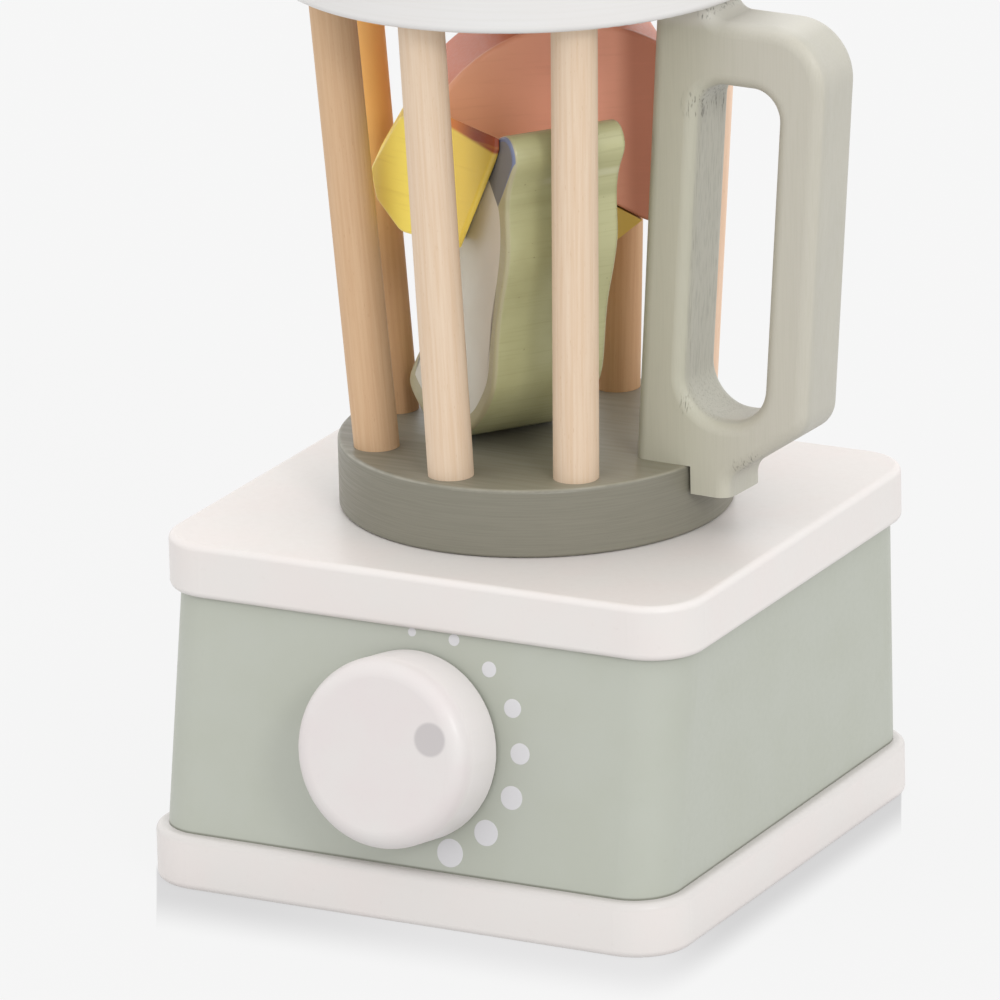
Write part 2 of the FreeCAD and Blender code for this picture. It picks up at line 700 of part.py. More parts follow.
def make_lid_knob():
    """A mushroom-shaped knob with a pilot hole in its foot."""
    hole, base = "screw_shank + glue_gap", "lid_thickness"
    top = f"{base} + lid_knob_height"
    tip = "lid_screw_length - plug_depth + 1"
    body = lid_piece("lid_knob", [(hole, base), ("lid_knob_waist", base),
                                  ("lid_knob_waist - 1", f"{base} + lid_knob_height / 3"),
                                  ("lid_knob_radius", f"{base} + lid_knob_height / 2"),
                                  ("lid_knob_radius", top), ("0", top), ("0", tip), (hole, tip)])
    limit = number("lid_knob_waist")
    height = number(top)
    fillet(body, "lid_knob_height / 4", lambda edge: level_at([height])(edge) and edge.BoundBox.XLength > limit)
    return body


def make_lid_screw():
    return screw("lid_screw", (("0", "jug_back", "ring_top - plug_depth"), ("0", "180", "0")),
                 "lid_screw_length")


# ---------------------------------------------------------------- play food
# Its frame stands at the near lower corner of the pear slice: X across its thickness, Y along
# its face away from the knob side, Z up.

PEAR_PROFILE = [  # (along, up) as shares of the height, once round from the bottom
    (0.235, -0.033), (0.132, -0.017), (0.041, 0.028), (-0.034, 0.084), (-0.088, 0.139), (-0.127, 0.195),
    (-0.153, 0.290), (-0.180, 0.425), (-0.222, 0.539), (-0.257, 0.665), (-0.258, 0.790), (-0.286, 0.880),
    (-0.318, 0.955), (-0.290, 1.003), (-0.160, 0.967), (-0.035, 0.886), (0.123, 0.723), (0.175, 0.518),
    (0.284, 0.294), (0.421, 0.133), (0.447, 0.075), (0.400, 0.025), (0.317, -0.018)]

WEDGE_PROFILE = [  # (along, up) as shares of the length, from the upper corner round the bottom
    (0.0, 0.09), (0.0, 0.0), (0.324, -0.585), (0.776, -0.589), (0.959, -0.447), (1.0, -0.295), (0.759, 0.029),
    (0.375, 0.16)]


def food_frame(across="0", back="0", up="0", turn="0", pitch="0", roll="0"):
    """A frame given in the food's own axes."""
    x, y, z = FOOD_PLACE
    at = (f"{x} + ({across}) * cos(food_turn) - ({back}) * sin(food_turn)",
          f"{y} + ({across}) * sin(food_turn) + ({back}) * cos(food_turn)", f"{z} + {up}")
    return at, (f"food_turn + {turn}", pitch, roll)


def melon_frame(along="0", back="0", up="0", pitch="0", roll="0"):
    """A frame given in the half disc's level axes, from the middle of its straight edge."""
    return food_frame(f"melon_across + ({along}) * cos(melon_turn) - ({back}) * sin(melon_turn)",
                      f"melon_back + ({along}) * sin(melon_turn) + ({back}) * cos(melon_turn)",
                      f"melon_up + {up}", "melon_turn", pitch, roll)


def solid(name, shape, frame):
    item = doc.addObject("Part::Feature", name)
    item.Shape = shape
    place(item, frame)
    return item


def make_pear():
    """A slice with a lipped top and a long belly, its outline a smooth closed curve."""
    height = number("pear_height")
    points = [FreeCAD.Vector(0, along * height, up * height) for along, up in PEAR_PROFILE]
    curve = Part.BSplineCurve()
    curve.interpolate(points, PeriodicFlag=True)
    face = Part.Face(Part.Wire(curve.toShape()))
    slab = face.extrude(FreeCAD.Vector(number("pear_thickness"), 0, 0))
    rims = [edge for edge in slab.Edges if edge.BoundBox.XLength < CLOSE]
    return solid("pear_slice", slab.makeFillet(number("food_edge"), rims), food_frame())


def make_melon():
    """A half disc whose straight edge slopes down to the right, cut upright at that end."""
    body = new_body("melon_half", melon_frame(pitch="melon_tilt"))
    sketch = new_sketch(body, "XZ_Plane")
    radius = number("melon_radius")
    rim = Part.Circle(FreeCAD.Vector(0, 0, 0), FreeCAD.Vector(0, 0, 1), radius)
    sketch.addGeometry(Part.ArcOfCircle(rim, 0, math.pi))
    sketch.addGeometry(Part.LineSegment(FreeCAD.Vector(-radius, 0, 0), FreeCAD.Vector(radius, 0, 0)))
    for constraint in (Sketcher.Constraint("Coincident", 0, 3, -1, 1),
                       Sketcher.Constraint("Coincident", 0, 2, 1, 1),
                       Sketcher.Constraint("Coincident", 0, 1, 1, 2),
                       Sketcher.Constraint("Horizontal", 1)):
        sketch.addConstraint(constraint)
    index = sketch.addConstraint(Sketcher.Constraint("Radius", 0, radius))
    sketch.setExpression(f"Constraints[{index}]", bound("melon_radius"))
    pad(body, sketch, "food_thickness", reverse=True)
    trim = new_sketch(body, "XZ_Plane")
    over, rise = "melon_radius * sin(melon_tilt)", "melon_radius * cos(melon_tilt)"
    outline(trim, [(f"melon_reach + {over}", f"-({rise})"), ("3 * melon_radius", f"-({rise})"),
                   ("3 * melon_radius", f"2 * {rise}"), (f"melon_reach - 2 * {over}", f"2 * {rise}")])
    pocket(body, trim, midplane=True)
    fillet(body, "melon_corner", lambda edge: abs(ends(edge)[0].y - ends(edge)[1].y) > 1)
    fillet(body, "food_edge", lambda edge: edge.BoundBox.YLength < CLOSE)
    return body


def make_wedge():
    """A slanting wedge of fruit, cut off at the pear slice's face and under the half disc."""
    length, depth = number("wedge_length"), number("wedge_depth")
    points = [FreeCAD.Vector(along * length, 0, up * length) for along, up in WEDGE_PROFILE]
    face = Part.Face(Part.makePolygon(points + points[:1]))
    slab = face.extrude(FreeCAD.Vector(number("wedge_depth * tan(wedge_slant)"), -depth, 0))
    across = [edge for edge in slab.Edges if abs(ends(edge)[0].y - ends(edge)[1].y) > 1]
    left = [edge for edge in across if min(end.x for end in ends(edge)) > length * 2 / 3]
    slab = slab.makeFillet(number("wedge_edge"), left)
    rims = [edge for edge in slab.Edges if abs(edge.BoundBox.YMax) < CLOSE and edge.BoundBox.YLength < CLOSE]
    blank = solid("wedge_blank", slab.makeFillet(number("food_edge"), rims),
                  food_frame("wedge_across", "wedge_back", "wedge_up", turn="wedge_turn"))
    behind = primitive("Box", "wedge_face_cutter", food_frame("-food_gap", "-pear_height", "0"),
                       Length="pear_height", Width="2 * pear_height", Height="2 * pear_height")
    span = "2 * melon_radius"
    over = primitive("Box", "wedge_roof_cutter",
                     melon_frame(f"{span} * (sin(wedge_roof) * sin(melon_tilt) - cos(melon_tilt))",
                                 f"-({span}) * cos(wedge_roof)",
                                 f"{span} * (sin(melon_tilt) + sin(wedge_roof) * cos(melon_tilt)) "
                                 f"- food_gap / cos(melon_tilt)", "melon_tilt", "-wedge_roof"),
                     Length=f"2 * {span}", Width=f"2 * {span}", Height=span)
    return cut("yellow_wedge", blank, [behind, over])


def make_tip():
    """A smaller wedge under the low end of the half disc, against the pear slice's back."""
    body = new_body("tip_blank", melon_frame())
    sketch = new_sketch(body, "XZ_Plane")
    slack, near = "food_gap / cos(melon_tilt)", "-tip_reach / 2"
    outline(sketch, [(near, "-tip_low"), ("tip_reach", f"-tip_reach * melon_drop - {slack}"),
                     (near, f"tip_reach / 2 * melon_drop - {slack}")])
    pad(body, sketch, "tip_depth", reverse=True)
    beside = primitive("Box", "tip_face_cutter", food_frame("food_gap - pear_height", "-pear_height", "0"),
                       Length="pear_height + pear_thickness", Width="2 * pear_height", Height="2 * pear_height")
    return cut("yellow_tip", body, [beside])


# ---------------------------------------------------------------- assembly

def build():
    nodes = {
        "base_plate": make_base_plate(),
        "front_panel": make_front_panel(),
        "rear_panel": make_rear_panel(),
        "left_panel": make_side_panel("left_panel", "-box_half"),
        "right_panel": make_side_panel("right_panel", "box_half - wall"),
        "corner_blocks": make_corner_blocks(),
        "base_screws": make_base_screws(),
        "top_plate": make_top_plate(),
        "top_dowels": make_top_dowels(),
        "jug_pegs": make_jug_pegs(),
        "knob": make_knob(),
        "knob_axle": make_knob_axle(),
        "knob_washer": make_knob_washer(),
        "click_wheel": make_click_wheel(),
        "axle_washer": make_axle_washer(),
        "axle_screw": make_axle_screw(),
        "click_spring": make_click_spring(),
        "spring_block": make_spring_block(),
        "spring_screws": make_spring_screws(),
        "jug_base": make_jug_base(),
        "top_ring": make_top_ring(),
        "handle": make_handle(),
        "handle_dowels": make_handle_dowels(),
        "lid_plate": make_lid_plate(),
        "lid_plug": make_lid_plug(),
        "lid_knob": make_lid_knob(),
        "lid_screw": make_lid_screw(),
        "pear_slice": make_pear(),
        "yellow_wedge": make_wedge(),
        "yellow_tip": make_tip(),
        "melon_half": make_melon(),
    }
    for count, rod in enumerate(make_rods(), start=1):
        nodes[f"rod_{count}"] = rod
    return nodes


def check(nodes):
    doc.recompute()
    for item in doc.Objects:
        if "Invalid" in item.State or "Error" in item.State:
            raise ValueError(f"{item.Name} failed: {item.State}")
    for name, item in nodes.items():
        if item.Shape.isNull() or not item.Shape.isValid():
            raise ValueError(f"{name} has no valid shape")


def export(nodes):
    os.makedirs("parts", exist_ok=True)
    for name, item in nodes.items():
        item.Label = name
        item.Shape.exportStep(os.path.join("parts", f"{name}.step"))
        box = item.Shape.BoundBox
        print(f"{name:14s} {len(item.Shape.Solids)} solid(s) {item.Shape.Volume:9.0f} mm3  "
              f"x {box.XMin:6.1f}..{box.XMax:6.1f}  y {box.YMin:6.1f}..{box.YMax:6.1f}  "
              f"z {box.ZMin:6.1f}..{box.ZMax:6.1f}")


parts = build()
check(parts)
export(parts)
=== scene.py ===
import math

import bmesh
import bpy
import numpy as np
from mathutils import Matrix, Vector


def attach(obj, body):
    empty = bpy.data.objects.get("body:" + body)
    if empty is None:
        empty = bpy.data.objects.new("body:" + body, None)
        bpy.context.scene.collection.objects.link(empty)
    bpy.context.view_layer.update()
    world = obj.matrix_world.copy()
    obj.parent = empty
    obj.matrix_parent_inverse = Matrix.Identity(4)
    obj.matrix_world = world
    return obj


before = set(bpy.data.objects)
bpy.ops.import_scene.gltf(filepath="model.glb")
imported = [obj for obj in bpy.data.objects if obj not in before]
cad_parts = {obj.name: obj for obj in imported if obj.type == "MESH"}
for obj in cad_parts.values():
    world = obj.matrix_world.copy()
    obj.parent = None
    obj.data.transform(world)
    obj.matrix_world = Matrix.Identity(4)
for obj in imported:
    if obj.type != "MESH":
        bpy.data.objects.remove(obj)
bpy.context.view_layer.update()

MM = 0.001

# ---------------------------------------------------------------- places taken from the CAD, in mm
PANEL_FOOT = Vector((0, -60, 12))                  # lower edge of the tilted panel, on its face
PANEL_TILT = math.radians(10)
PANEL_UP = Vector((0, math.sin(PANEL_TILT), math.cos(PANEL_TILT)))
PANEL_OUT = Vector((0, -math.cos(PANEL_TILT), math.sin(PANEL_TILT)))
KNOB_FACE = 15.6                                   # the knob's face stands this far off the panel
JUG_BACK = 4.76                                    # the jug's axis stands this far behind the middle
JUG_TURN = -3.5                                    # degrees
DISC_TOP, RING_BOTTOM = 89.0, 190.5
DISC_ARC, RING_ARC = 42.0, 53.0                    # radii at which lengths round disc and ring are counted
ROD_CIRCLE_LOW, ROD_CIRCLE_HIGH = 34.6, 41.8
ROD_STEP = 45                                      # degrees between two places on the rods' circle
ROD_PLACES = {"rod_1": 0, "rod_2": 1, "rod_3": 3, "rod_4": 4, "rod_5": 5, "rod_6": 6, "rod_7": 7}
BASE_HALF = 62.5                                   # half the base plate's side
BOARD_FOOT = 12.0                                  # top of the base plate
HANDLE_PLACE = 2                                   # the place on that circle where the handle stands
HANDLE_TURN = math.radians(JUG_TURN + ROD_STEP * HANDLE_PLACE)
FOOD_PLACE = Vector((-3.2, -16.94, 91.7))          # lower near corner of the pear slice's face
FOOD_TURN = math.radians(53.5)
FOOD_ACROSS = Vector((math.cos(FOOD_TURN), math.sin(FOOD_TURN), 0))
FOOD_ALONG = Vector((-math.sin(FOOD_TURN), math.cos(FOOD_TURN), 0))
PEAR_HEIGHT = 71.0
PEAR_PROFILE = [  # (along, up) as shares of the height, once round
    (0.235, -0.033), (0.132, -0.017), (0.041, 0.028), (-0.034, 0.084), (-0.088, 0.139), (-0.127, 0.195),
    (-0.153, 0.290), (-0.180, 0.425), (-0.222, 0.539), (-0.257, 0.665), (-0.258, 0.790), (-0.286, 0.880),
    (-0.318, 0.955), (-0.290, 1.003), (-0.160, 0.967), (-0.035, 0.886), (0.123, 0.723), (0.175, 0.518),
    (0.284, 0.294), (0.421, 0.133), (0.447, 0.075), (0.400, 0.025), (0.317, -0.018)]
PRINT_EDGE = [  # (along, up) in mm: foot and near side of the print, ending at the calyx's tip
    (28.3, 7.8), (25.0, 5.4), (20.0, 3.5), (14.0, 2.7), (8.0, 3.6), (0.8, 6.8), (-3.8, 11.3), (-6.9, 15.8),
    (-8.4, 21.7), (-9.6, 29.2), (-11.6, 35.2), (-14.1, 43.1), (-15.1, 48.8), (-14.35, 55.7)]
CALYX_TIP = (-14.35, 55.7)
PEAR_LIP = 61.4                                    # height of the lit lip below the slice's top
CALYX_SLOPES = (1.2, -1.4)                         # rise of its two lower edges, up per along
CALYX_BLUR = 0.15                                  # half the width over which they blur

# ---------------------------------------------------------------- the photograph's camera
CAMERA = {"azimuth": 27.8891, "elevation": 17.9869, "roll": -1.4465, "distance": 2328.94,
          "aside": -5.6696, "height": 74.8295, "lens": 395.36, "sensor": 36.0, "clip_end": 100.0}


def panel_point(across, up):
    """A point on the tilted panel's face."""
    return PANEL_FOOT + Vector((across, 0, 0)) + PANEL_UP * up


# ---------------------------------------------------------------- node helpers

def rgb(red, green, blue):
    """A display colour, 0 to 255, as the linear colour that nodes use."""
    parts = [value / 255 for value in (red, green, blue)]
    return [part / 12.92 if part <= 0.04045 else ((part + 0.055) / 1.055) ** 2.4 for part in parts] + [1.0]


class Look:
    """A material under construction. Its coordinates are the part's own, in millimetres."""

    def __init__(self, name, roughness, coat=0.0, coat_roughness=0.3, sheen=0.0, metal=0.0, specular=0.5):
        self.material = bpy.data.materials.new(name)
        self.material.use_nodes = True
        self.nodes = self.material.node_tree.nodes
        self.links = self.material.node_tree.links
        self.shader = self.nodes["Principled BSDF"]
        self.set(self.shader.inputs["Roughness"], roughness)
        self.set(self.shader.inputs["Coat Weight"], coat)
        self.set(self.shader.inputs["Coat Roughness"], coat_roughness)
        self.set(self.shader.inputs["Sheen Weight"], sheen)
        self.set(self.shader.inputs["Metallic"], metal)
        self.set(self.shader.inputs["Specular IOR Level"], specular)
        place = self.nodes.new("ShaderNodeTexCoord").outputs["Object"]
        self.place = self.vector("SCALE", place, scale=1 / MM)

    def set(self, socket, value):
        if isinstance(value, bpy.types.NodeSocket):
            self.links.new(value, socket)
        else:
            socket.default_value = value

    def vector(self, operation, first, second=None, scale=None):
        node = self.nodes.new("ShaderNodeVectorMath")
        node.operation = operation
        self.set(node.inputs[0], first)
        if second is not None:
            self.set(node.inputs[1], second)
        if scale is not None:
            self.set(node.inputs["Scale"], scale)
        return node.outputs["Value" if operation in ("DOT_PRODUCT", "LENGTH", "DISTANCE") else "Vector"]

    def math(self, operation, first, second=0.0):
        node = self.nodes.new("ShaderNodeMath")
        node.operation = operation
        self.set(node.inputs[0], first)
        self.set(node.inputs[1], second)
        return node.outputs["Value"]

    def times(self, first, second):
        return self.math("MULTIPLY", first, second)

    def less(self, first, second):
        return self.math("SUBTRACT", first, second)

    def axes(self):
        node = self.nodes.new("ShaderNodeSeparateXYZ")
        self.set(node.inputs[0], self.place)
        return node.outputs["X"], node.outputs["Y"], node.outputs["Z"]

    def join(self, x, y, z):
        node = self.nodes.new("ShaderNodeCombineXYZ")
        for socket, value in zip(node.inputs, (x, y, z)):
            self.set(socket, value)
        return node.outputs["Vector"]

    def along(self, direction, origin=(0, 0, 0)):
        """Distance in mm along a direction, counted from an origin."""
        reach = self.vector("DOT_PRODUCT", self.place, tuple(direction))
        return self.less(reach, Vector(direction).dot(Vector(origin)))

    def noise(self, size, detail=2.0, place=None, stretch=(1, 1, 1), seed=0.0, roughness=0.5):
        """Noise from 0 to 1 whose features are about size mm, times stretch on each axis."""
        node = self.nodes.new("ShaderNodeTexNoise")
        node.inputs["Scale"].default_value = 1.0
        node.inputs["Detail"].default_value = detail
        node.inputs["Roughness"].default_value = roughness
        scaled = self.vector("MULTIPLY", place or self.place, [1 / (size * part) for part in stretch])
        self.set(node.inputs["Vector"], self.vector("ADD", scaled, (seed, seed * 0.7, seed * 1.3)))
        return node.outputs["Fac"]

    def ramp(self, value, low, high, bottom=0.0, top=1.0):
        """A smooth step from bottom to top as the value goes from low to high."""
        node = self.nodes.new("ShaderNodeMapRange")
        node.interpolation_type = "SMOOTHSTEP"
        for socket, part in zip(node.inputs, (value, low, high, bottom, top)):
            self.set(socket, part)
        return node.outputs["Result"]

    def fade(self, value, low, high, share=1.0):
        """The given share up to low, falling smoothly to nothing at high."""
        return self.ramp(value, low, high, share, 0.0)

    def mix(self, share, first, second):
        node = self.nodes.new("ShaderNodeMix")
        node.data_type = "RGBA"
        self.set(node.inputs[0], share)
        self.set(node.inputs[6], first)
        self.set(node.inputs[7], second)
        return node.outputs[2]

    def bump(self, height, depth, before=None):
        """Relief of the given depth in mm, from a height of 0 to 1."""
        node = self.nodes.new("ShaderNodeBump")
        node.inputs["Strength"].default_value = 1.0
        node.inputs["Distance"].default_value = depth * MM
        self.set(node.inputs["Height"], height)
        if before is not None:
            self.set(node.inputs["Normal"], before)
        return node.outputs["Normal"]

    def finish(self, colour, normal=None, roughness=None):
        self.set(self.shader.inputs["Base Color"], colour)
        if normal is not None:
            self.set(self.shader.inputs["Normal"], normal)
            self.set(self.shader.inputs["Coat Normal"], normal)
        if roughness is not None:
            self.set(self.shader.inputs["Roughness"], roughness)
        return self.material


# ---------------------------------------------------------------- tones

# The edge tone is painted shade on the base plate's rounded upper edge.
WHITE = {"plain": rgb(205, 201, 198), "patch": rgb(206, 200, 197), "fleck": rgb(197, 190, 186),
         "edge": rgb(191, 187, 184)}
# The side tone is painted light: the knob's side lighter than its face.
KNOB = {"plain": rgb(198, 194, 192), "patch": rgb(198, 191, 190), "fleck": rgb(191, 184, 182),
        "side": rgb(217, 212, 211), "mark": rgb(173, 168, 168)}
# The foot tone is a painted contact-shade line where the panels stand on the base plate.
SAGE = {"plain": rgb(162, 165, 155), "patch": rgb(160, 163, 152), "fleck": rgb(154, 156, 145),
        "foot": rgb(92, 93, 80)}
# Past raw, the tones are lit and shaded copies of one beech, painted light and shade for the rods.
BEECH = {  # pale and dark streaks, and flecks
    "raw": (rgb(208, 186, 163), rgb(200, 173, 146), rgb(172, 136, 101)),
    "pale": (rgb(207, 187, 165), rgb(200, 175, 149), rgb(178, 143, 109)),
    "warm_shaded": (rgb(196, 165, 132), rgb(188, 154, 120), rgb(162, 124, 86)),
    "lit_rod": (rgb(234, 203, 179), rgb(226, 192, 164), rgb(188, 152, 120)),
    "shaded": (rgb(194, 157, 119), rgb(186, 147, 109), rgb(160, 120, 82))}
# The top tone is painted light on the disc's top, and the lightest tone a painted highlight along its upper
# rim.
DISC = {"plain": rgb(118, 115, 102), "streak": rgb(112, 109, 96), "top": rgb(134, 130, 114),
        "fleck": rgb(78, 76, 66), "rim_highlight": rgb(160, 156, 143)}
# The lightest tone here is painted light on the handle's top.
HANDLE = {"near": rgb(174, 172, 155), "far": rgb(175, 171, 159), "narrow": rgb(163, 161, 152),
          "streak": rgb(161, 158, 142), "patch": rgb(181, 178, 163), "head": rgb(187, 184, 174),
          "wall": rgb(128, 126, 118), "torn": rgb(86, 84, 74)}
RING = {"plain": rgb(205, 204, 203), "line": rgb(202, 201, 199), "patch": rgb(203, 200, 198)}
# Tones from lit to end are painted light and shade along the wedge's front; the two band tones are a painted
# shadow under the melon, orange from a painted reflection of it.
WEDGE = {"lit": rgb(250, 229, 110), "middle": rgb(238, 208, 86), "far_shade": rgb(172, 144, 52),
         "end": rgb(112, 92, 34), "line": rgb(206, 172, 66),
         "band_left": rgb(212, 122, 42), "band_right": rgb(122, 46, 5)}
# The lit, middle and deep tones are painted light and shadow along the cut face, and the tone for the curved
# outer face is painted shade.
MELON = {"lit": rgb(252, 188, 154), "middle": rgb(246, 174, 148), "deep": rgb(200, 132, 108),
         "rind_shade": rgb(224, 130, 94), "line": rgb(216, 142, 118)}
TIP = {"plain": rgb(214, 178, 84), "line": rgb(200, 164, 72)}
# The lip tone is a painted highlight, and the under tone painted shade below it.
PEAR = {"lit": rgb(168, 167, 125), "deep": rgb(162, 160, 118), "far": rgb(182, 181, 138),
        "line": rgb(136, 132, 92), "border": rgb(158, 150, 117), "calyx": rgb(98, 105, 130),
        "lip": rgb(206, 205, 176), "under": rgb(140, 138, 96), "nick": rgb(100, 95, 60)}
PRINT = {"near": rgb(192, 182, 165), "far": rgb(198, 195, 183), "patch": rgb(188, 181, 165),
         "calyx": rgb(106, 103, 101)}
FELT = rgb(217, 214, 206), rgb(190, 186, 176)
STEEL = rgb(196, 197, 196), rgb(168, 170, 171)
DOT_GREY = rgb(193, 192, 194)

# ---------------------------------------------------------------- where the tones change: from, to, in mm
PLATE_EDGE_SHADE = (BOARD_FOOT - 1.8, BOARD_FOOT - 0.6)      # up: painted shade darkens the base plate's rounded upper edge
FOOT_SHADE_LINE = (BOARD_FOOT + 0.2, BOARD_FOOT + 0.65)          # up: the painted contact-shade line at the panels' foot ends
KNOB_LIT_SIDE = (KNOB_FACE - 4.5, KNOB_FACE - 1.8)             # off the panel: the knob's side ends; painted light makes it lighter than the face
KNOB_MARK, MARK_EDGE = (12.71, 30.78), (3.15, 4.0)         # across and up the panel; the mark's blurred rim
DISC_SIDE = (DISC_TOP - 0.5, DISC_TOP - 0.1)               # up: the disc's side gives way to its top
DISC_LIT = (-22, 34)                                       # x: painted light brightens its top from here to there
DISC_RIM, DISC_EDGE = (41.5, 41.85), (DISC_TOP - 0.6, DISC_TOP - 0.3)   # out and up: the painted highlight along its rim
HANDLE_REACH = (38, 62)                                    # out: near tone to far tone
HANDLE_NARROW = (5.6, 6.4)                                 # off the board's middle: its narrow faces end
HANDLE_LIT_HEAD = (184, 187)                                   # up: painted light on its top
SLOT_WALL = (47, 50)                                       # out: the slot's inner wall ends
TORN_SPOTS = [  # (out along the handle, up, size), where the cutter tore the end grain
    (45.9, 168.0, 5.2), (40.6, 102.5, 2.6), (47.6, 188.2, 2.2), (54.6, 89.8, 3.4), (57.4, 92.2, 2.4)]
WEDGE_ALONG = (0.937, -0.350, 0)                           # direction of the wedge's length
# along: painted light at the near end, then painted shade at the far end and at the rounded end
WEDGE_NEAR, WEDGE_FAR_SHADE, WEDGE_END_SHADE = (-14, 9), (7, 17.5), (17.8, 19.5)
WEDGE_BAND, WEDGE_BAND_SLOPE = (163.0, 164.0), -0.235      # up: the painted shadow band under the melon starts; its rise per length
WEDGE_BAND_TURN = (4, 13)                                  # along: the painted shadow band's left tone to its right tone
MELON_ALONG, MELON_AHEAD = (0.806, 0.592, 0), (0.592, -0.806, 0)
MELON_NEAR, MELON_FAR_SHADOW = (-16, 12), (20.7, 25.8)            # along: painted light at the near end, painted shadow at the far end
MELON_RIND_SHADE = (-5.1, -4.3)                                  # ahead: the painted shade on the outer face ends and the cut face begins
PEAR_BACK = (13, 22)                                       # across: lighter away from the face
PEAR_FACE, CALYX_FACE = (0.5, 1.0), (0.35, 0.5)            # across: the face's border and calyx end
PEAR_LIP_ACROSS = (6, 12)                                  # across: the lit lip begins
PEAR_LIP_BAND = (0.2, 1.3)                                 # off the lip's height: its light fades
PEAR_UNDER, PEAR_UNDER_BAND = PEAR_LIP - 4.5, (0.4, 2.0)   # the shade under the lip: height, and fading
PRINT_TURN = (-14, 4)                                      # along: near tone to far tone


# ---------------------------------------------------------------- finishes
# A noise's first number is the size of its features and a bump's last one its depth, both in mm. A ramp
# on a noise picks how much of the noise shows, and its last two numbers are the values at its ends.

def brushed(look, tones, seed):
    """Sprayed satin paint: broad faint patches, and a fine orange peel."""
    broad = look.noise(16, 3, seed=seed)
    tone = look.mix(look.ramp(broad, 0.35, 0.68), tones["plain"], tones["patch"])
    fine = look.noise(1.3, 4, seed=seed + 3)
    tone = look.mix(look.ramp(fine, 0.62, 0.85, 0.0, 0.35), tone, tones["fleck"])
    peel = look.noise(0.55, 2, seed=seed + 5)
    normal = look.bump(peel, 0.006, look.bump(broad, 0.05))
    return tone, normal, look.ramp(fine, 0.3, 0.7, 0.42, 0.5)


def white_board(name, seed, rounding=None):
    """Satin white; rounding gives the heights between which painted shade darkens the upper edge."""
    look = Look(name, 0.45, coat=0.15, coat_roughness=0.25)
    tone, normal, rough = brushed(look, WHITE, seed)
    if rounding:
        tone = look.mix(look.ramp(look.axes()[2], *rounding), tone, WHITE["edge"])
    return look.finish(tone, normal, rough)


def knob_paint():
    """White paint, lighter on the side as painted light, with a blurred grey mark near the rim of the face.
    """
    look = Look("knob_white", 0.4, coat=0.2, coat_roughness=0.22)
    tone, normal, rough = brushed(look, KNOB, 4.0)
    height = look.along(PANEL_OUT, PANEL_FOOT)
    tone = look.mix(look.fade(height, *KNOB_LIT_SIDE), tone, KNOB["side"])
    mark = panel_point(*KNOB_MARK) + PANEL_OUT * KNOB_FACE
    offset = look.vector("DISTANCE", look.place, tuple(mark))
    tone = look.mix(look.fade(offset, *MARK_EDGE), tone, KNOB["mark"])
    return look.finish(tone, normal, rough)


def sage_board(name, seed):
    """Satin sage, with a painted contact-shade line where the panel stands on the base plate."""
    look = Look(name, 0.42, coat=0.12, coat_roughness=0.28)
    tone, normal, rough = brushed(look, SAGE, seed)
    tone = look.mix(look.fade(look.axes()[2], *FOOT_SHADE_LINE, 0.75), tone, SAGE["foot"])
    return look.finish(tone, normal, rough)


def beech(name, axis, seed, tones=BEECH["raw"], glow=None):
    """Sanded raw beech whose grain runs along the given axis; glow paints orange bounce light on it towards
    its top.
    """
    look = Look(name, 0.62, specular=0.3)
    pale, dark, spot = tones
    run = Vector(axis).normalized()
    aside = run.orthogonal().normalized()
    place = look.join(look.along(run), look.along(aside), look.along(run.cross(aside)))
    streak = look.noise(0.75, 4, place, (40, 1, 1), seed, 0.65)
    fibre = look.noise(0.2, 2, place, (40, 1, 1), seed + 2)
    fleck = look.ramp(look.noise(0.3, 1, place, (6, 1, 1), seed + 4), 0.66, 0.78)
    tone = look.mix(look.ramp(streak, 0.3, 0.72), pale, dark)
    tone = look.mix(look.times(look.ramp(fibre, 0.4, 0.75), 0.25), tone, dark)
    tone = look.mix(look.times(fleck, 0.3), tone, spot)
    if glow:
        low, high, colour = glow
        tone = look.mix(look.ramp(look.axes()[2], low, high), tone, colour)
    normal = look.bump(look.math("ADD", streak, look.times(fibre, 0.4)), 0.015)
    return look.finish(tone, normal, look.ramp(fibre, 0.3, 0.7, 0.55, 0.7))


def rod_axis(node):
    angle = math.radians(JUG_TURN + ROD_STEP * ROD_PLACES[node])
    lean = math.atan2(ROD_CIRCLE_HIGH - ROD_CIRCLE_LOW, RING_BOTTOM - DISC_TOP)
    out = Vector((math.sin(angle), -math.cos(angle), 0))
    return out * math.sin(lean) + Vector((0, 0, math.cos(lean)))


def round_jug(look, size):
    """Distance from the jug's axis, and the place as (arc at the given radius, distance, up)."""
    x, y, z = look.axes()
    y = look.less(y, JUG_BACK)
    radius = look.vector("LENGTH", look.join(x, y, 0.0))
    arc = look.times(look.math("ARCTAN2", y, x), size)
    return radius, look.join(arc, radius, z)


